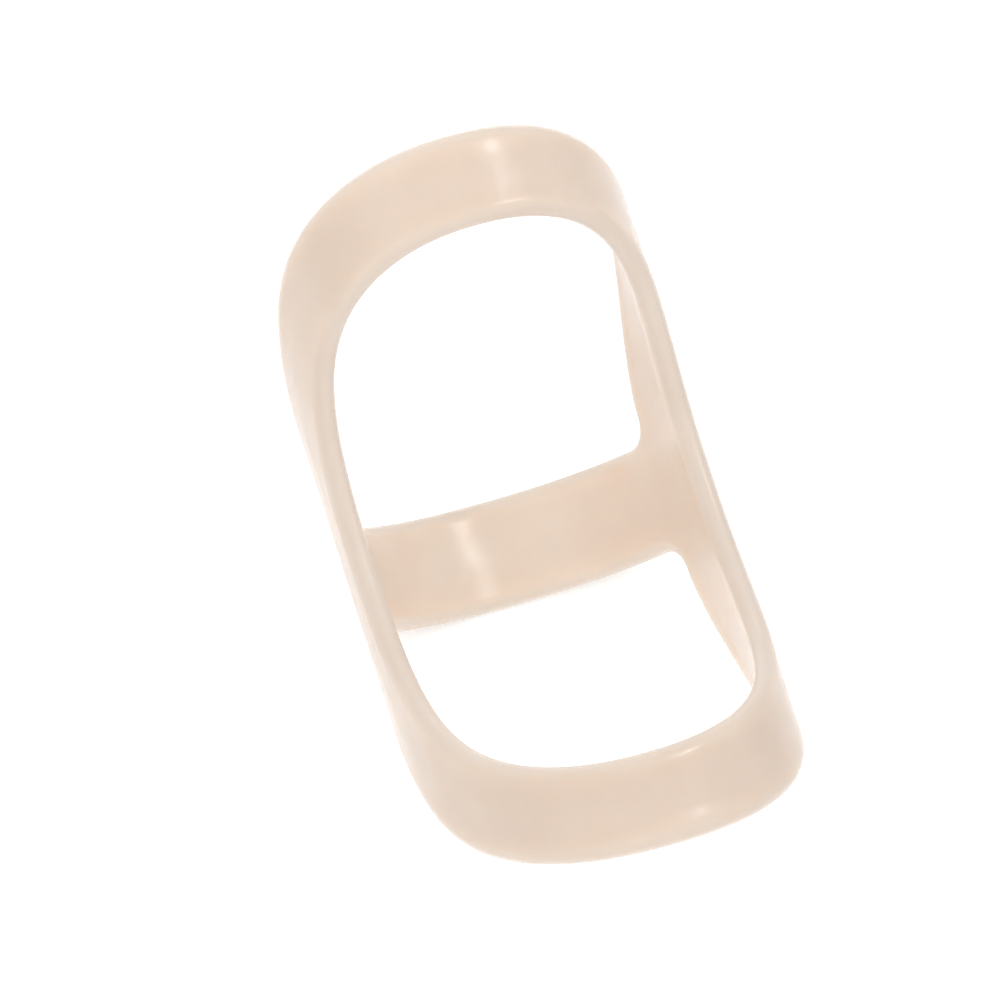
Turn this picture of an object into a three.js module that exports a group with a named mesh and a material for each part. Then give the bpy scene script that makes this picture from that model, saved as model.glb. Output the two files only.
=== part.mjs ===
// A rigid finger splint in the shape of a figure of eight, moulded in one piece of plastic.
//
// The splint is one oval tube that fits round a finger, with most of the tube cut away. What is left is
// a crossbar under the finger, two bands over its back, and two side walls that join them. Lengths are in
// millimetres. X runs along the finger, Y across it and Z up. The splint rests on the underside of its
// crossbar, and the origin is the middle of that underside.
//
// The wall is drawn flat first, as a blank that is then wrapped round the finger. On the blank, "girth" is
// the distance round the finger from the middle of the palm side, and "along" is the place along X.

import * as THREE from "three";
import { mergeGeometries, mergeVertices } from "three/addons/utils/BufferGeometryUtils.js";

// Space for the finger, and the wall round it
const insideWidth = 19.0;
const insideHeight = 17.2;
const ovalPower = 2.22; // 2 is an ellipse, and more is squarer
const wall = 1.35;
const edgeRounding = 0.8; // how far the rounding of each edge runs into the face of the wall

// Lengths along the finger, from the middle of the crossbar
const tipReach = 20.6; // to the end of the band nearer the fingertip
const handReach = 20.85; // to the end of the band nearer the hand
const tipBandWidth = 5.3;
const handBandWidth = 5.3;
const crossbarWidth = 6.27;

// How much narrower the splint is at its ends than in its middle
const tipNarrowing = 0.8;
const handNarrowing = 0.5;

// Distances round the finger
const crossbarHalfGirth = 11.25; // middle of the palm side to the lower edge of a side wall
const sideWallWidth = 5.6; // that edge to the bottom of the opening over the knuckle
const cornerRadius = 1.55; // inner corner between crossbar and side wall

// Flow of the edges from the side walls into the bands: higher leaves the side wall more steeply
const openingSteepness = 2.39;
const openingLevelling = 2.23;
const endSteepness = 1.61;
const endLevelling = 2.28;

// Flat on the underside of the crossbar, across the finger
const footWidth = 5.0;

// Fineness of the mesh
const facetLength = 0.87; // along an edge
const columnsOnFace = 4;
const stepsOnRounding = 4;

// Middle surface of the wall
const halfWidth = (insideWidth + wall) / 2;
const halfHeight = (insideHeight + wall) / 2;

// One side of the oval through the middle of the wall, from the palm side (t = 0) to the back (t = 1)
class OvalHalf extends THREE.Curve {
  getPoint(t, target = new THREE.Vector2()) {
    const angle = Math.PI * t;
    const across = Math.sin(angle);
    const up = -Math.cos(angle);
    const level = (Math.abs(across) / halfWidth) ** ovalPower + (Math.abs(up) / halfHeight) ** ovalPower;
    const reach = level ** (-1 / ovalPower);
    return target.set(across * reach, up * reach);
  }
}

const oval = new OvalHalf();
oval.arcLengthDivisions = 1440;
const halfGirth = oval.getLength();

// Middle of the wall at a distance round the finger, across and up, and its outward direction there
function ovalAt(girth, localHalfWidth) {
  const middle = oval.getPoint(oval.getUtoTmapping(0, girth));
  middle.x *= localHalfWidth / halfWidth;
  const outward = new THREE.Vector2(
    (Math.abs(middle.x) / localHalfWidth) ** (ovalPower - 1) / localHalfWidth,
    (Math.sign(middle.y) * (Math.abs(middle.y) / halfHeight) ** (ovalPower - 1)) / halfHeight,
  ).normalize();
  return { middle, outward };
}

// The outer face comes down to height zero where the flat ends
const footHalfGirth = footWidth / 2;
const footEnd = ovalAt(footHalfGirth, halfWidth);
const centreHeight = -(footEnd.middle.y + footEnd.outward.y * (wall / 2));

const tipEnd = { direction: 1, reach: tipReach, bandWidth: tipBandWidth, narrowing: tipNarrowing };
const handEnd = { direction: -1, reach: handReach, bandWidth: handBandWidth, narrowing: handNarrowing };

// Wraps a point of the blank round the finger. out is its distance outward from the middle of the wall.
function wrap(girth, along, out, end, side) {
  const localHalfWidth = halfWidth - (end.narrowing / 2) * (along / end.reach) ** 4;
  const { middle, outward } = ovalAt(girth, localHalfWidth);
  // Over the flat the outer half of the wall is thinner, so that its face stays at height zero
  const drop = -outward.y * (wall / 2);
  const thinning = drop > 0 ? Math.min(1, (centreHeight + middle.y) / drop) : 1;
  const { x: across, y: up } = middle.addScaledVector(outward, out > 0 ? out * thinning : out);
  return new THREE.Vector3(end.direction * along, side * across, centreHeight + up);
}

// An edge that leaves a side wall straight along the finger and arrives straight across it
class FlowingEdge extends THREE.Curve {
  constructor(start, finish, steepness, levelling) {
    super();
    Object.assign(this, { start, finish, steepness, levelling, arcLengthDivisions: 800 });
  }

  getPoint(t, target = new THREE.Vector2()) {
    const share = t ** 2.5; // closer points where the edge is steep
    const rise = (1 - (1 - share) ** this.levelling) ** (1 / this.steepness);
    return target.set(
      THREE.MathUtils.lerp(this.start.x, this.finish.x, share),
      THREE.MathUtils.lerp(this.start.y, this.finish.y, rise),
    );
  }
}

// Points along joined curves of the blank, each with its direction into the wall
function sampleEdge(path, rows, wallIsOnLeft) {
  const turn = wallIsOnLeft ? 1 : -1;
  return Array.from({ length: rows + 1 }, (_, row) => {
    const point = path.getPoint(row / rows);
    const tangent = path.getTangent(row / rows);
    return { point, inward: new THREE.Vector2(-turn * tangent.y, turn * tangent.x) };
  });
}

function joinCurves(...curves) {
  const path = new THREE.CurvePath();
  curves.forEach((curve) => path.add(curve));
  return path;
}

// Edges of one quarter of the blank
function quarterEdges(end) {
  const crossbarEdge = crossbarWidth / 2;
  const corner = new THREE.Vector2(crossbarHalfGirth - cornerRadius, crossbarEdge + cornerRadius);
  const bar = (from, to) =>
    new THREE.LineCurve(new THREE.Vector2(from, crossbarEdge), new THREE.Vector2(to, crossbarEdge));
  const fillet = (from, to) => new THREE.ArcCurve(corner.x, corner.y, cornerRadius, from, to, false);
  const endEdge = new FlowingEdge(
    new THREE.Vector2(crossbarHalfGirth, corner.y),
    new THREE.Vector2(halfGirth, end.reach),
    endSteepness,
    endLevelling,
  );
  const openingEdge = new FlowingEdge(
    new THREE.Vector2(crossbarHalfGirth + sideWallWidth, 0),
    new THREE.Vector2(halfGirth, end.reach - end.bandWidth),
    openingSteepness,
    openingLevelling,
  );
  const footPath = joinCurves(bar(0, footHalfGirth));
  const crossbarPath = joinCurves(bar(footHalfGirth, corner.x), fillet(-Math.PI / 2, -Math.PI / 4));
  const endPath = joinCurves(fillet(-Math.PI / 4, 0), endEdge);
  const rowsOn = (path) => Math.ceil(path.getLength() / facetLength);
  const edges = {
    foot: sampleEdge(footPath, rowsOn(footPath), false),
    crossbar: sampleEdge(crossbarPath, rowsOn(crossbarPath), false),
    end: sampleEdge(endPath, rowsOn(endPath), false),
    opening: sampleEdge(joinCurves(openingEdge), rowsOn(endPath), true),
  };
  // At the two lines of symmetry every edge runs square to the line
  edges.end.at(-1).inward.set(0, -1);
  edges.opening[0].inward.set(-1, 0);
  edges.opening.at(-1).inward.set(0, 1);
  // The parts of the lower edge share the points where they meet
  edges.crossbar[0] = edges.foot.at(-1);
  edges.end[0] = edges.crossbar.at(-1);
  return edges;
}

const insetPoint = ({ point, inward }, depth) => point.clone().addScaledVector(inward, depth);

// A grid of points as a geometry. flip turns its faces over.
function sheet(grid, flip) {
  const columns = grid[0].length;
  const triangles = [];
  for (let row = 0; row < grid.length - 1; row++) {
    for (let column = 0; column < columns - 1; column++) {
      const a = row * columns + column;
      const b = a + 1;
      const c = a + columns;
      const d = c + 1;
      triangles.push(...(flip ? [a, c, b, b, c, d] : [a, b, c, b, d, c]));
    }
  }
  const geometry = new THREE.BufferGeometry().setFromPoints(grid.flat());
  return geometry.setIndex(triangles);
}

// Rounded edge: half an ellipse from the outer face of the wall to its inner face
function roundedEdge(edge, end, side) {
  return edge.map((sample) =>
    Array.from({ length: stepsOnRounding + 1 }, (_, step) => {
      const angle = (Math.PI * step) / stepsOnRounding;
      const flat = insetPoint(sample, edgeRounding * (1 - Math.sin(angle)));
      return wrap(flat.x, flat.y, (wall / 2) * Math.cos(angle), end, side);
    }),
  );
}

// Face of the side wall and band, from the opening over the knuckle to the end of the splint
function bandFace(edges, out, end, side) {
  return edges.opening.map((sample, row) => {
    const near = insetPoint(sample, edgeRounding);
    const far = insetPoint(edges.end[row], edgeRounding);
    return Array.from({ length: columnsOnFace + 1 }, (_, column) => {
      const flat = near.clone().lerp(far, column / columnsOnFace);
      return wrap(flat.x, flat.y, out, end, side);
    });
  });
}

// Face of the crossbar, between its edge and its middle line from one girth to another: a four-sided
// patch, blended from its sides
function crossbarFace(samples, fromGirth, toGirth, out, end, side) {
  const edge = samples.map((sample) => insetPoint(sample, edgeRounding));
  return edge.map((edgePoint, row) => {
    const rowShare = row / (edge.length - 1);
    const middlePoint = new THREE.Vector2(THREE.MathUtils.lerp(fromGirth, toGirth, rowShare), 0);
    const straightEdgePoint = edge[0].clone().lerp(edge.at(-1), rowShare);
    const bulge = edgePoint.clone().sub(straightEdgePoint);
    return Array.from({ length: columnsOnFace + 1 }, (_, column) => {
      const share = column / columnsOnFace;
      const flat = middlePoint.clone().lerp(straightEdgePoint, share).addScaledVector(bulge, share);
      return wrap(flat.x, flat.y, out, end, side);
    });
  });
}

// One quarter of the splint: one end, on one side of the finger
function quarter(end, side) {
  const edges = quarterEdges(end);
  const mirrored = end.direction * side > 0;
  const waistGirth = insetPoint(edges.opening[0], edgeRounding).x;
  const faces = [wall / 2, -wall / 2].flatMap((out) => {
    const flip = out > 0 ? mirrored : !mirrored;
    return [
      sheet(bandFace(edges, out, end, side), flip),
      sheet(crossbarFace(edges.foot, 0, footHalfGirth, out, end, side), flip),
      sheet(crossbarFace(edges.crossbar, footHalfGirth, waistGirth, out, end, side), flip),
    ];
  });
  return [
    ...faces,
    sheet(roundedEdge(edges.opening, end, side), !mirrored),
    sheet(roundedEdge(edges.end, end, side), mirrored),
    sheet(roundedEdge(edges.crossbar, end, side), mirrored),
    sheet(roundedEdge(edges.foot, end, side), mirrored),
  ];
}

const quarters = [tipEnd, handEnd].flatMap((end) => [1, -1].flatMap((side) => quarter(end, side)));
const geometry = mergeVertices(mergeGeometries(quarters), 1e-4);
geometry.computeVertexNormals();

const plastic = new THREE.MeshStandardMaterial({ color: 0xe6d4c5, roughness: 0.3, metalness: 0 });
const splintBand = new THREE.Mesh(geometry, plastic);
splintBand.name = "splint_band";

const splint = new THREE.Group();
splint.add(splintBand);

export default splint;
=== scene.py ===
"""A rigid figure-of-eight finger splint of moulded plastic, resting on its crossbar.

The splint is drawn as a flat blank, half a finger's girth to each side of the palm line. A Geometry
Nodes tree then wraps the blank round the oval of the finger. On the blank, x is the place along the
finger, y is the distance round it from the palm line, and z is the distance outward from the middle
of the wall. Lengths are in millimetres until they are multiplied by MM.
"""

import math

import bmesh
import bpy
from mathutils import Matrix, Vector
from mathutils.kdtree import KDTree


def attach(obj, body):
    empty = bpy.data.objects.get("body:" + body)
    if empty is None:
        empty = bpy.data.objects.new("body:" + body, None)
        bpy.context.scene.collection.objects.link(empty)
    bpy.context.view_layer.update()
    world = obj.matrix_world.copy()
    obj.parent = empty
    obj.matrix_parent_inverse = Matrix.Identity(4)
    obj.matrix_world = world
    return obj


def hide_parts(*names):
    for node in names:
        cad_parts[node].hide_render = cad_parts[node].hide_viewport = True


MM = 0.001

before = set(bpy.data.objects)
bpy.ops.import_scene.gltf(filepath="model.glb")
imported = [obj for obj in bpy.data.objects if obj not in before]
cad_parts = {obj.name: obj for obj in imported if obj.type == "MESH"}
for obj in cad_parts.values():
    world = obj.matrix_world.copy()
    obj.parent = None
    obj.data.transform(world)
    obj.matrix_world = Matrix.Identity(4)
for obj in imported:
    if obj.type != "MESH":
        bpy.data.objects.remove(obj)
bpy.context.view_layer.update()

# Space for the finger, and the wall round it
INSIDE_WIDTH = 19.0
INSIDE_HEIGHT = 17.2
OVAL_POWER = 2.22
WALL = 1.35
EDGE_ROUNDING = 0.8

# Lengths along the finger, from the middle of the crossbar
TIP_REACH = 20.6
HAND_REACH = 20.85
BAND_WIDTH = 5.3
CROSSBAR_WIDTH = 6.27

# How much narrower the splint is at its ends than in its middle
TIP_NARROWING = 0.8
HAND_NARROWING = 0.5
NARROWING_POWER = 4.0  # a high power keeps the narrowing near the ends

# Distances round the finger
CROSSBAR_HALF_GIRTH = 11.25
SIDE_WALL_WIDTH = 5.6
CORNER_RADIUS = 1.55
FOOT_HALF_GIRTH = 2.5

# Flow of the edges from the side walls into the bands: steepness at the start, levelling at the end
OPENING_FLOW = (2.39, 2.23)
END_FLOW = (1.61, 2.28)

# The outer face sinks to a shallow hollow and the inner face rises to a low crown, each over a border
OUTER_SINK = 0.045
OUTER_BORDER = 0.9
INNER_CROWN = 0.06
INNER_BORDER = 2.3

# Fineness of the mesh
FACET = 0.2
FACE_COLUMNS = 24
ROUNDING_STEPS = 12
OVAL_POINTS = 1441
STEEP_START_POWER = 2.5  # draws the points of a flowing edge together where it starts steeply

# Distances within which points are merged
BLANK_WELD = 1e-4
SEAM_WELD = 1e-3

# Base colours of the plastic in sRGB, from 0 to 255
DEEP_BEIGE = (202, 188, 174)
PALE_BEIGE = (207, 195, 182)
# The edge grey is painted shade, mixed into the rounded edges
EDGE_GREY = (184, 180, 177)

# How far the edges are mixed with grey as painted shade and the inner face is lightened as painted light,
# fitted to the photograph
EDGE_SHADE_SHARE = 0.45
EDGE_SHADE_WIDTH = 1.0
INNER_FACE_PAINTED_LIGHT = 1.07

# Patterns in the plastic, in waves to the metre, and the height of the mould's grain
CLOUD_SCALE = 170.0
GLOSS_SCALE = 420.0
GRAIN_SCALE = 2600.0
GRAIN_HEIGHT = 0.02

HALF_WIDTH = (INSIDE_WIDTH + WALL) / 2
HALF_HEIGHT = (INSIDE_HEIGHT + WALL) / 2


# The oval of the finger


def oval_point(t):
    """Across and up on the oval through the middle of the wall, from the palm (t = 0) to the back (t = 1)."""
    across = math.sin(math.pi * t)
    up = -math.cos(math.pi * t)
    level = (abs(across) / HALF_WIDTH) ** OVAL_POWER + (abs(up) / HALF_HEIGHT) ** OVAL_POWER
    reach = level ** (-1 / OVAL_POWER)
    return across * reach, up * reach


def oval_half_girth():
    points = [oval_point(i / (OVAL_POINTS - 1)) for i in range(OVAL_POINTS)]
    return sum(math.dist(a, b) for a, b in zip(points, points[1:]))


HALF_GIRTH = oval_half_girth()


def outer_height_at_foot():
    """Height of the outer face over the oval's middle, where the flat underside ends."""
    steps = 20000
    girth = 0.0
    last = oval_point(0)
    for i in range(1, steps):
        point = oval_point(i / steps)
        girth += math.dist(last, point)
        last = point
        if girth >= FOOT_HALF_GIRTH:
            break
    across, up = last
    normal = Vector((
        (abs(across) / HALF_WIDTH) ** (OVAL_POWER - 1) / HALF_WIDTH,
        -((abs(up) / HALF_HEIGHT) ** (OVAL_POWER - 1)) / HALF_HEIGHT,
    )).normalized()
    return up + normal.y * WALL / 2


CENTRE_HEIGHT = -outer_height_at_foot()


# Edges of the blank


def line(start, end, steps=40):
    return [start.lerp(end, i / steps) for i in range(steps + 1)]


def fillet(centre, radius, start, end, steps=40):
    angles = [start + (end - start) * i / steps for i in range(steps + 1)]
    return [centre + radius * Vector((math.cos(a), math.sin(a))) for a in angles]


def flowing_edge(start, end, flow, steps=1600):
    """An edge that leaves a side wall straight along the finger and arrives straight across it."""
    steepness, levelling = flow
    points = []
    for i in range(steps + 1):
        share = (i / steps) ** STEEP_START_POWER
        rise = (1 - (1 - share) ** levelling) ** (1 / steepness)
        points.append(Vector((
            start.x + (end.x - start.x) * share,
            start.y + (end.y - start.y) * rise,
        )))
    return points


def evenly_spaced(points, rows):
    """Points at even distances along a fine polyline, each with the direction of the line there."""
    lengths = [0.0]
    for a, b in zip(points, points[1:]):
        lengths.append(lengths[-1] + (b - a).length)
    samples = []
    place = 0
    for row in range(rows + 1):
        wanted = lengths[-1] * row / rows
        while place < len(points) - 2 and lengths[place + 1] < wanted:
            place += 1
        step = lengths[place + 1] - lengths[place]
        share = (wanted - lengths[place]) / step if step else 0.0
        a, b = points[place], points[place + 1]
        samples.append((a.lerp(b, min(share, 1.0)), (b - a).normalized()))
    return samples


def edge_samples(points, rows, wall_on_left, first=None, last=None):
    """Points along an edge, each with the direction into the wall, which first and last set at the ends."""
    turn = 1 if wall_on_left else -1
    samples = [
        (point, Vector((-turn * tangent.y, turn * tangent.x)))
        for point, tangent in evenly_spaced(points, rows)
    ]
    if first:
        samples[0] = (samples[0][0], Vector(first))
    if last:
        samples[-1] = (samples[-1][0], Vector(last))
    return samples


def length_of(points):
    return sum((b - a).length for a, b in zip(points, points[1:]))


def edge_finder(lines):
    """Finds how far a place on the blank is from the nearest free edge of the wall."""
    points = [point for edge in lines for a, b in zip(edge, edge[1:]) for point in line(a, b, steps=3)]
    tree = KDTree(len(points))
    for i, point in enumerate(points):
        tree.insert((point.x, point.y, 0), i)
    tree.balance()
    return tree


def quarter_edges(reach):
    """The edges of one quarter of the blank, from the palm line to the back of the finger."""
    crossbar_edge = CROSSBAR_WIDTH / 2
    corner = Vector((CROSSBAR_HALF_GIRTH - CORNER_RADIUS, crossbar_edge + CORNER_RADIUS))
    foot = line(Vector((0, crossbar_edge)), Vector((FOOT_HALF_GIRTH, crossbar_edge)))
    bar = line(foot[-1], Vector((corner.x, crossbar_edge)))
    bar += fillet(corner, CORNER_RADIUS, -math.pi / 2, -math.pi / 4)[1:]
    end = fillet(corner, CORNER_RADIUS, -math.pi / 4, 0)
    band_end = Vector((HALF_GIRTH, reach))
    end += flowing_edge(Vector((CROSSBAR_HALF_GIRTH, corner.y)), band_end, END_FLOW)[1:]
    waist = Vector((CROSSBAR_HALF_GIRTH + SIDE_WALL_WIDTH, 0))
    opening = flowing_edge(waist, Vector((HALF_GIRTH, reach - BAND_WIDTH)), OPENING_FLOW)
    band_rows = math.ceil(length_of(end) / FACET)
    edges = {
        "foot": edge_samples(foot, math.ceil(length_of(foot) / FACET), False),
        "bar": edge_samples(bar, math.ceil(length_of(bar) / FACET), False),
        "end": edge_samples(end, band_rows, False, last=(0, -1)),
        "opening": edge_samples(opening, band_rows, True, first=(-1, 0), last=(0, 1)),
    }
    # The parts of the lower edge share the points where they meet
    edges["bar"][0] = edges["foot"][-1]
    edges["end"][0] = edges["bar"][-1]
    edges["finder"] = edge_finder([foot, bar, end, opening])
    return edges


# Faces of the blank, as grids of (girth, along, out, nearness to an edge for the painted edge shade, share
# towards the inner face for the painted inner light)


def inset(sample, depth):
    point, inward = sample
    return point + inward * depth


def smooth_share(distance, width):
    """0 at no distance, 1 from the full width on, and level at both ends."""
    share = min(max(distance / width, 0.0), 1.0)
    return share * share * (3 - 2 * share)


def rounded_edge(samples):
    """Half an ellipse from the outer face of the wall to its inner face."""
    grid = []
    for sample in samples:
        row = []
        for step in range(ROUNDING_STEPS + 1):
            angle = math.pi * step / ROUNDING_STEPS
            depth = EDGE_ROUNDING * (1 - math.sin(angle))
            flat = inset(sample, depth)
            out = WALL / 2 * math.cos(angle)
            near_edge = 1 - smooth_share(depth, EDGE_SHADE_WIDTH)
            inside = (1 - math.cos(angle)) / 2
            row.append((flat.x, flat.y, out, near_edge, inside))
        grid.append(row)
    return grid


def face_row(points, out, finder):
    """A row of points on one face of the wall, sunk or crowned away from its edges."""
    inside = 0.0 if out > 0 else 1.0
    row = []
    for point in points:
        _, _, distance = finder.find((point.x, point.y, 0))
        if out > 0:
            height = out - OUTER_SINK * smooth_share(distance - EDGE_ROUNDING, OUTER_BORDER)
        else:
            height = out - INNER_CROWN * smooth_share(distance - EDGE_ROUNDING, INNER_BORDER)
        row.append((point.x, point.y, height, 1 - smooth_share(distance, EDGE_SHADE_WIDTH), inside))
    return row


def band_face(edges, out):
    grid = []
    for near_sample, far_sample in zip(edges["opening"], edges["end"]):
        near = inset(near_sample, EDGE_ROUNDING)
        far = inset(far_sample, EDGE_ROUNDING)
        points = [near.lerp(far, i / FACE_COLUMNS) for i in range(FACE_COLUMNS + 1)]
        grid.append(face_row(points, out, edges["finder"]))
    return grid


def bar_face(samples, from_girth, to_girth, out, finder):
    """A four-sided patch between the middle line of the crossbar and its edge, blended from its sides."""
    edge = [inset(sample, EDGE_ROUNDING) for sample in samples]
    grid = []
    for row, edge_point in enumerate(edge):
        row_share = row / (len(edge) - 1)
        middle = Vector((from_girth + (to_girth - from_girth) * row_share, 0))
        straight = edge[0].lerp(edge[-1], row_share)
        bulge = edge_point - straight
        shares = [i / FACE_COLUMNS for i in range(FACE_COLUMNS + 1)]
        points = [middle.lerp(straight, share) + bulge * share for share in shares]
        grid.append(face_row(points, out, finder))
    return grid


def quarter_grids(reach):
    """The grids of one quarter, each with 1 where its own winding faces out of the wall, and -1 where not."""
    edges = quarter_edges(reach)
    waist_girth = inset(edges["opening"][0], EDGE_ROUNDING).x
    grids = []
    for out, facing in ((WALL / 2, 1), (-WALL / 2, -1)):
        grids.append((band_face(edges, out), facing))
        grids.append((bar_face(edges["foot"], 0, FOOT_HALF_GIRTH, out, edges["finder"]), facing))
        grids.append((bar_face(edges["bar"], FOOT_HALF_GIRTH, waist_girth, out, edges["finder"]), facing))
    grids.append((rounded_edge(edges["opening"]), -1))
    grids += [(rounded_edge(edges[name]), 1) for name in ("foot", "bar", "end")]
    return grids


def add_grid(mesh, grid, facing, along_sign, side):
    """Adds a grid to a bmesh, mirrored to one end and one side of the finger."""
    nearness = mesh.verts.layers.float["edge_nearness"]
    inner_share = mesh.verts.layers.float["inner_share"]
    rows = []
    for row in grid:
        rows.append([])
        for girth, along, out, near_edge, inside in row:
            vert = mesh.verts.new(Vector((along_sign * along, side * girth, out)) * MM)
            vert[nearness] = near_edge
            vert[inner_share] = inside
            rows[-1].append(vert)
    flip = facing * along_sign * side > 0
    for near, far in zip(rows, rows[1:]):
        for i in range(len(near) - 1):
            corners = [near[i], near[i + 1], far[i + 1], far[i]]
            mesh.faces.new(corners[::-1] if flip else corners)


def make_blank():
    """The flat blank of the whole splint, with its faces outward once it is wrapped."""
    mesh = bmesh.new()
    mesh.verts.layers.float.new("edge_nearness")
    mesh.verts.layers.float.new("inner_share")
    for reach, along_sign in ((TIP_REACH, 1), (HAND_REACH, -1)):
        grids = quarter_grids(reach)
        for side in (1, -1):
            for grid, facing in grids:
                add_grid(mesh, grid, facing, along_sign, side)
    bmesh.ops.remove_doubles(mesh, verts=mesh.verts, dist=BLANK_WELD * MM)
    data = bpy.data.meshes.new("splint_blank")
    mesh.to_mesh(data)
    mesh.free()
    return data


# Geometry Nodes tree that wraps the blank


class Tree:
    """A Geometry Nodes tree with short calls for its nodes."""

    def __init__(self, name):
        self.group = bpy.data.node_groups.new(name, "GeometryNodeTree")
        self.group.is_modifier = True
        self.values = {}

    def add_input(self, name, kind, value=None):
        socket = self.group.interface.new_socket(name, in_out="INPUT", socket_type=kind)
        self.values[socket.identifier] = value

    def node(self, kind, inputs=None, **settings):
        node = self.group.nodes.new(kind)
        for name, value in settings.items():
            setattr(node, name, value)
        for name, value in (inputs or {}).items():
            self.feed(node.inputs[name], value)
        return node

    def feed(self, socket, value):
        if isinstance(value, bpy.types.NodeSocket):
            self.group.links.new(value, socket)
        else:
            socket.default_value = value

    def math(self, operation, *values):
        node = self.node("ShaderNodeMath", operation=operation)
        for socket, value in zip(node.inputs, values):
            self.feed(socket, value)
        return node.outputs[0]

    def combine(self, x, y, z):
        return self.node("ShaderNodeCombineXYZ", {"X": x, "Y": y, "Z": z}).outputs[0]

    def separate(self, vector):
        return self.node("ShaderNodeSeparateXYZ", {"Vector": vector}).outputs

    def set_on(self, modifier):
        for identifier, value in self.values.items():
            if value is not None:
                modifier[identifier] = value


def wrap_tree(material):
    """Wraps a flat blank round an oval, cuts a flat under it, closes its seam and gives it its material."""
    tree = Tree("wrap_blank_round_finger")
    tree.add_input("Blank", "NodeSocketGeometry")
    for name, value in (
        ("Half Width", HALF_WIDTH * MM),
        ("Half Height", HALF_HEIGHT * MM),
        ("Oval Power", OVAL_POWER),
        ("Tip Reach", TIP_REACH * MM),
        ("Hand Reach", HAND_REACH * MM),
        ("Tip Narrowing", TIP_NARROWING * MM),
        ("Hand Narrowing", HAND_NARROWING * MM),
        ("Centre Height", CENTRE_HEIGHT * MM),
        ("Wall", WALL * MM),
    ):
        tree.add_input(name, "NodeSocketFloat", value)
    tree.add_input("Plastic", "NodeSocketMaterial", material)
    tree.group.interface.new_socket("Splint", in_out="OUTPUT", socket_type="NodeSocketGeometry")
    given = tree.node("NodeGroupInput").outputs
    half_width, half_height, power = given["Half Width"], given["Half Height"], given["Oval Power"]

    # The oval as a curve, from the palm line to the back of the finger
    straight = tree.node("GeometryNodeCurvePrimitiveLine")
    fine = tree.node("GeometryNodeResampleCurve", {"Curve": straight.outputs[0], "Count": OVAL_POINTS})
    factor = tree.node("GeometryNodeSplineParameter").outputs["Factor"]
    angle = tree.math("MULTIPLY", factor, math.pi)
    sine = tree.math("SINE", angle)
    minus_cosine = tree.math("MULTIPLY", tree.math("COSINE", angle), -1.0)
    level = tree.math(
        "ADD",
        tree.math("POWER", tree.math("DIVIDE", tree.math("ABSOLUTE", sine), half_width), power),
        tree.math("POWER", tree.math("DIVIDE", tree.math("ABSOLUTE", minus_cosine), half_height), power),
    )
    reach = tree.math("POWER", level, tree.math("DIVIDE", -1.0, power))
    oval_across = tree.math("MULTIPLY", sine, reach)
    oval_up = tree.math("MULTIPLY", minus_cosine, reach)
    on_oval = tree.combine(0.0, oval_across, oval_up)
    oval = tree.node("GeometryNodeSetPosition", {"Geometry": fine.outputs[0], "Position": on_oval})

    # Where a point of the blank comes on the oval
    along, signed_girth, out = tree.separate(tree.node("GeometryNodeInputPosition").outputs[0])[:3]
    girth = tree.math("ABSOLUTE", signed_girth)
    side = tree.math("SIGN", signed_girth)
    middle = tree.node(
        "GeometryNodeSampleCurve",
        {"Curves": oval.outputs[0], "Length": girth},
        mode="LENGTH",
        use_all_curves=True,
    )
    _, middle_across, up = tree.separate(middle.outputs["Position"])[:3]

    # The splint narrows towards its ends
    to_tip = tree.math("GREATER_THAN", along, 0.0)
    to_hand = tree.math("SUBTRACT", 1.0, to_tip)

    def by_end(tip, hand):
        return tree.math("ADD", tree.math("MULTIPLY", tip, to_tip), tree.math("MULTIPLY", hand, to_hand))

    end_reach = by_end(given["Tip Reach"], given["Hand Reach"])
    narrowing = by_end(given["Tip Narrowing"], given["Hand Narrowing"])
    end_nearness = tree.math("DIVIDE", tree.math("ABSOLUTE", along), end_reach)
    share = tree.math("POWER", end_nearness, NARROWING_POWER)
    lost = tree.math("MULTIPLY", tree.math("MULTIPLY", narrowing, 0.5), share)
    local_half_width = tree.math("SUBTRACT", half_width, lost)
    across = tree.math("MULTIPLY", middle_across, tree.math("DIVIDE", local_half_width, half_width))

    # Outward direction of the oval's wall there
    less_one = tree.math("SUBTRACT", power, 1.0)
    slope_across = tree.math(
        "DIVIDE",
        tree.math("POWER", tree.math("DIVIDE", across, local_half_width), less_one),
        local_half_width,
    )
    slope_up = tree.math(
        "DIVIDE",
        tree.math("POWER", tree.math("DIVIDE", tree.math("ABSOLUTE", up), half_height), less_one),
        half_height,
    )
    signed_slope_up = tree.math("MULTIPLY", slope_up, tree.math("SIGN", up))
    normal = tree.node(
        "ShaderNodeVectorMath", {0: tree.combine(0.0, slope_across, signed_slope_up)}, operation="NORMALIZE"
    )
    _, normal_across, normal_up = tree.separate(normal.outputs[0])[:3]

    # Over the flat the outer half of the wall is thinner, so that its face stays at height zero.
    # The least drop stands in where the wall faces up, so that nothing is divided by zero.
    least_drop = 1e-7
    height = tree.math("ADD", given["Centre Height"], up)
    drop = tree.math("MULTIPLY", tree.math("MULTIPLY", normal_up, -0.5), given["Wall"])
    thinning = tree.math("MINIMUM", tree.math("DIVIDE", height, tree.math("MAXIMUM", drop, least_drop)), 1.0)
    outer = tree.math("MULTIPLY", tree.math("MAXIMUM", out, 0.0), thinning)
    offset = tree.math("ADD", outer, tree.math("MINIMUM", out, 0.0))
    y = tree.math("MULTIPLY", side, tree.math("MULTIPLY_ADD", normal_across, offset, across))
    z = tree.math("MULTIPLY_ADD", normal_up, offset, height)

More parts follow.
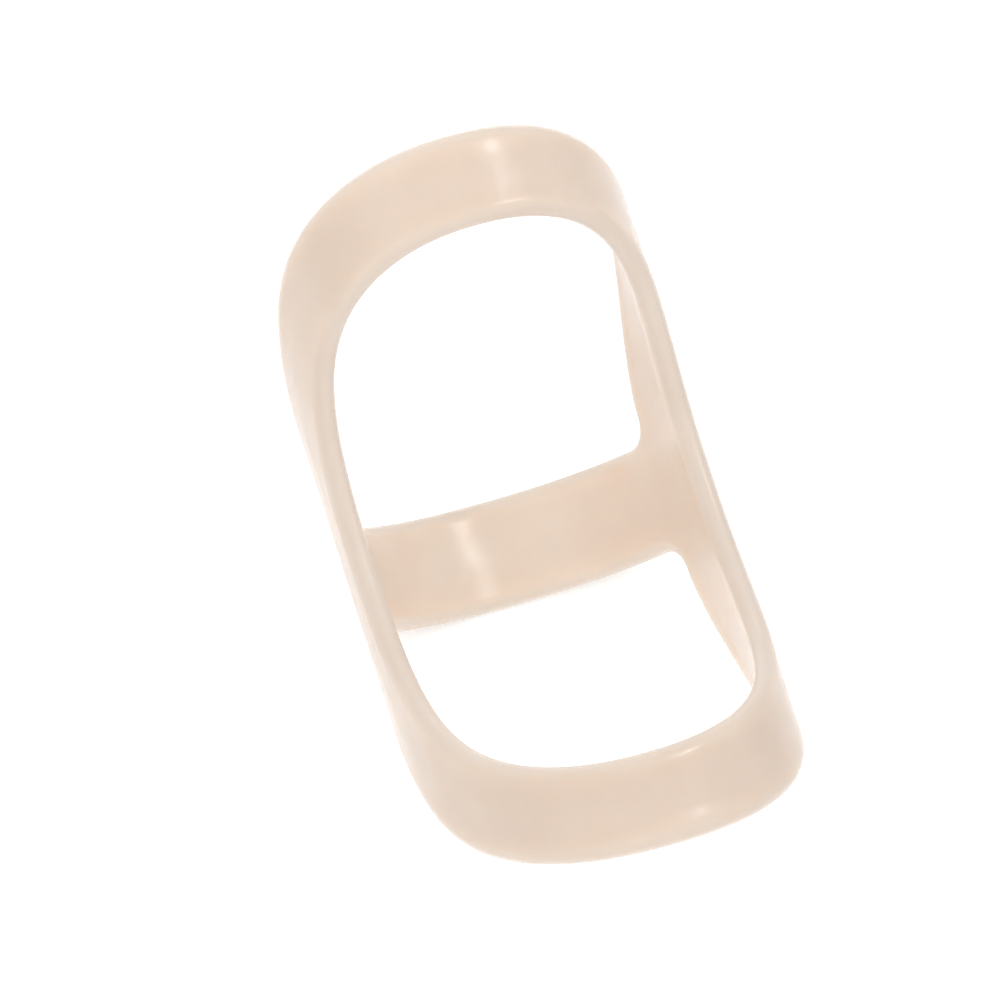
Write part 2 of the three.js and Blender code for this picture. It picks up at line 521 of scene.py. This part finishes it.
    wrapped = tree.node(
        "GeometryNodeSetPosition", {"Geometry": given["Blank"], "Position": tree.combine(along, y, z)}
    )
    closed = tree.node(
        "GeometryNodeMergeByDistance", {"Geometry": wrapped.outputs[0], "Distance": SEAM_WELD * MM}
    )
    smooth = tree.node("GeometryNodeSetShadeSmooth", {0: closed.outputs[0]})
    real = tree.node("GeometryNodeRealizeInstances", {0: smooth.outputs[0]})
    plastic = tree.node(
        "GeometryNodeSetMaterial", {"Geometry": real.outputs[0], "Material": given["Plastic"]}
    )
    tree.node("NodeGroupOutput", {0: plastic.outputs[0]})
    return tree


def make_splint(material):
    splint = bpy.data.objects.new("splint_body", make_blank())
    tree = wrap_tree(material)
    modifier = splint.modifiers.new("wrap", "NODES")
    modifier.node_group = tree.group
    tree.set_on(modifier)
    bpy.context.collection.objects.link(splint)
    depsgraph = bpy.context.evaluated_depsgraph_get()
    mesh = bpy.data.meshes.new_from_object(splint.evaluated_get(depsgraph))
    splint.modifiers.remove(modifier)
    splint.data = mesh
    return splint


# Materials


def shader_node(tree, kind, inputs=None, **settings):
    node = tree.nodes.new(kind)
    for name, value in settings.items():
        setattr(node, name, value)
    for name, value in (inputs or {}).items():
        if isinstance(value, bpy.types.NodeSocket):
            tree.links.new(value, node.inputs[name])
        else:
            node.inputs[name].default_value = value
    return node


def srgb(red, green, blue):
    """A colour given in sRGB from 0 to 255, as the linear colour that a shader takes."""
    return tuple(
        (c / 12.92 if c <= 0.04045 else ((c + 0.055) / 1.055) ** 2.4)
        for c in (red / 255, green / 255, blue / 255)
    ) + (1.0,)


def moulded_plastic():
    """Glossy beige plastic that lets a little light in, with a faint clouding, the grain of its mould,
    painted shade on its rounded edges and painted light on its inner face.
    """
    material = bpy.data.materials.new("moulded_beige_plastic")
    material.use_nodes = True
    tree = material.node_tree
    shader = tree.nodes["Principled BSDF"]
    place = shader_node(tree, "ShaderNodeTexCoord").outputs["Object"]

    clouds = shader_node(
        tree, "ShaderNodeTexNoise", {"Vector": place, "Scale": CLOUD_SCALE, "Detail": 3.0, "Roughness": 0.55}
    )
    tint = shader_node(tree, "ShaderNodeValToRGB", {"Fac": clouds.outputs["Fac"]})
    ramp = tint.color_ramp
    ramp.elements[0].position = 0.30
    ramp.elements[0].color = srgb(*DEEP_BEIGE)
    ramp.elements[1].position = 0.72
    ramp.elements[1].color = srgb(*PALE_BEIGE)

    # The inner face is painted a little lighter than the outer face, as it looks in the photograph: painted
    # light that lifts the shade inside the splint
    inside = shader_node(tree, "ShaderNodeAttribute", attribute_name="inner_share")
    painted_inner_light = shader_node(
        tree,
        "ShaderNodeMapRange",
        {"Value": inside.outputs["Fac"], "To Min": 1.0, "To Max": INNER_FACE_PAINTED_LIGHT},
    )
    tone = shader_node(
        tree,
        "ShaderNodeHueSaturation",
        {"Value": painted_inner_light.outputs["Result"], "Color": tint.outputs["Color"]},
    )

    # The rounded edges are painted greyer than the warm body, as they look in the photograph: painted shade
    # on the thin edges.
    # The colour sockets of a Mix node have the same names as its number sockets, so they go by place.
    nearness = shader_node(tree, "ShaderNodeAttribute", attribute_name="edge_nearness")
    painted_edge_shade = shader_node(
        tree, "ShaderNodeMath", {0: nearness.outputs["Fac"], 1: EDGE_SHADE_SHARE}, operation="MULTIPLY"
    )
    body = shader_node(tree, "ShaderNodeMix", data_type="RGBA")
    tree.links.new(painted_edge_shade.outputs[0], body.inputs[0])
    tree.links.new(tone.outputs["Color"], body.inputs[6])
    body.inputs[7].default_value = srgb(*EDGE_GREY)
    tree.links.new(body.outputs[2], shader.inputs["Base Color"])

    sheen_spots = shader_node(
        tree, "ShaderNodeTexNoise", {"Vector": place, "Scale": GLOSS_SCALE, "Detail": 2.0, "Roughness": 0.5}
    )
    gloss = shader_node(
        tree,
        "ShaderNodeMapRange",
        {"Value": sheen_spots.outputs["Fac"], "To Min": 0.17, "To Max": 0.25},
    )
    tree.links.new(gloss.outputs["Result"], shader.inputs["Roughness"])

    grain = shader_node(
        tree, "ShaderNodeTexNoise", {"Vector": place, "Scale": GRAIN_SCALE, "Detail": 2.0, "Roughness": 0.6}
    )
    bump = shader_node(
        tree,
        "ShaderNodeBump",
        {"Height": grain.outputs["Fac"], "Strength": 0.12, "Distance": GRAIN_HEIGHT * MM},
    )
    tree.links.new(bump.outputs["Normal"], shader.inputs["Normal"])

    shader.inputs["IOR"].default_value = 1.49
    shader.inputs["Subsurface Weight"].default_value = 1.0
    shader.inputs["Subsurface Radius"].default_value = (1.0, 0.8, 0.65)
    shader.inputs["Subsurface Scale"].default_value = 2.0 * MM
    return material


def pale_floor_material():
    """White paper that gives off a little light of its own, so that it stays white under the splint."""
    material = bpy.data.materials.new("pale_paper_floor")
    material.use_nodes = True
    shader = material.node_tree.nodes["Principled BSDF"]
    shader.inputs["Base Color"].default_value = (0.95, 0.95, 0.95, 1.0)
    shader.inputs["Roughness"].default_value = 0.9
    shader.inputs["Specular IOR Level"].default_value = 0.1
    shader.inputs["Emission Color"].default_value = (1.0, 1.0, 1.0, 1.0)
    shader.inputs["Emission Strength"].default_value = 0.22
    return material


# Studio


def make_camera():
    """Looks down into the opening over the knuckle, from the photograph's angle."""
    azimuth = math.radians(121.085)
    elevation = math.radians(73.035)
    roll = math.radians(317.891)
    distance = 400.0
    aim = Vector((1.610, 1.196, 9.441))
    towards = Vector((
        math.cos(elevation) * math.cos(azimuth),
        math.cos(elevation) * math.sin(azimuth),
        math.sin(elevation),
    ))
    data = bpy.data.cameras.new("camera")
    data.lens = 255.32
    data.sensor_width = 36.0
    data.clip_start = 0.01
    camera = bpy.data.objects.new("camera", data)
    camera.location = (aim + towards * distance) * MM
    level_right = Vector((0, 0, 1)).cross(towards).normalized()
    level_up = towards.cross(level_right)
    right = level_right * math.cos(roll) - level_up * math.sin(roll)
    up = level_right * math.sin(roll) + level_up * math.cos(roll)
    camera.rotation_euler = Matrix((right, up, towards)).transposed().to_euler()
    bpy.context.collection.objects.link(camera)
    bpy.context.scene.camera = camera


def make_floor():
    """A wide square of paper, a hair below the splint so that the two don't flicker together."""
    half = 3.0
    drop = 0.02 * MM
    mesh = bpy.data.meshes.new("floor")
    corners = [(-half, -half, -drop), (half, -half, -drop), (half, half, -drop), (-half, half, -drop)]
    mesh.from_pydata(corners, [], [(0, 1, 2, 3)])
    mesh.materials.append(pale_floor_material())
    floor = bpy.data.objects.new("floor", mesh)
    bpy.context.collection.objects.link(floor)


def add_softbox(name, place, aim, width, length, radiance, turn=0.0):
    """A flat lamp, placed in millimetres and facing its aim, with the same radiance all over."""
    data = bpy.data.lights.new(name, "AREA")
    data.shape = "RECTANGLE"
    data.size = width * MM
    data.size_y = length * MM
    data.energy = radiance * math.pi * data.size * data.size_y
    light = bpy.data.objects.new(name, data)
    light.location = Vector(place) * MM
    facing = (Vector(place) - Vector(aim)).to_track_quat("Z", "Y").to_matrix()
    spin = Matrix.Rotation(math.radians(turn), 3, "Z")
    light.rotation_euler = (facing @ spin).to_euler()
    bpy.context.collection.objects.link(light)
    return light


def light_the_stage():
    """A white tent, soft lamps that shade the form, and small lamps that show in its gloss."""
    scene = bpy.context.scene
    world = bpy.data.worlds.new("white_tent")
    scene.world = world
    world.use_nodes = True
    background = world.node_tree.nodes["Background"]
    background.inputs["Color"].default_value = (1.0, 1.0, 1.0, 1.0)
    background.inputs["Strength"].default_value = 0.6
    soft_lights = [
        add_softbox("overhead_softbox", (0, 0, 400), (0, 0, 10), 320, 320, 0.7),
        add_softbox("left_softbox", (30, 80, 125), (10, -5, 8), 100, 100, 1.7),
        add_softbox("right_softbox", (30, -80, 125), (10, 5, 8), 100, 100, 1.0),
        add_softbox("hand_softbox", (-140, 10, 60), (0, 0, 10), 100, 80, 2.5),
        add_softbox("tip_softbox", (70, 30, 150), (20, 0, 15), 140, 70, 1.85),
    ]
    # The soft lamps light the splint but don't show in its gloss
    for softbox in soft_lights:
        softbox.visible_glossy = False
    # The streak across the crossbar, the spots on the bands, and the bright line along their rims
    add_softbox("streak_lamp", (28, -72, 150), (0, 1.8, 2), 9, 34, 18.0, turn=31)
    add_softbox("spot_lamp", (64, -81, 162), (17, -2, 19), 7, 7, 22.0)
    add_softbox("rim_strip", (150, -20, 70), (-15, 0, 15), 60, 20, 3.0)
    scene.view_settings.view_transform = "Standard"
    scene.view_settings.look = "None"


make_camera()
make_floor()
light_the_stage()

splint = make_splint(moulded_plastic())
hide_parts("splint_band")
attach(splint, "root")
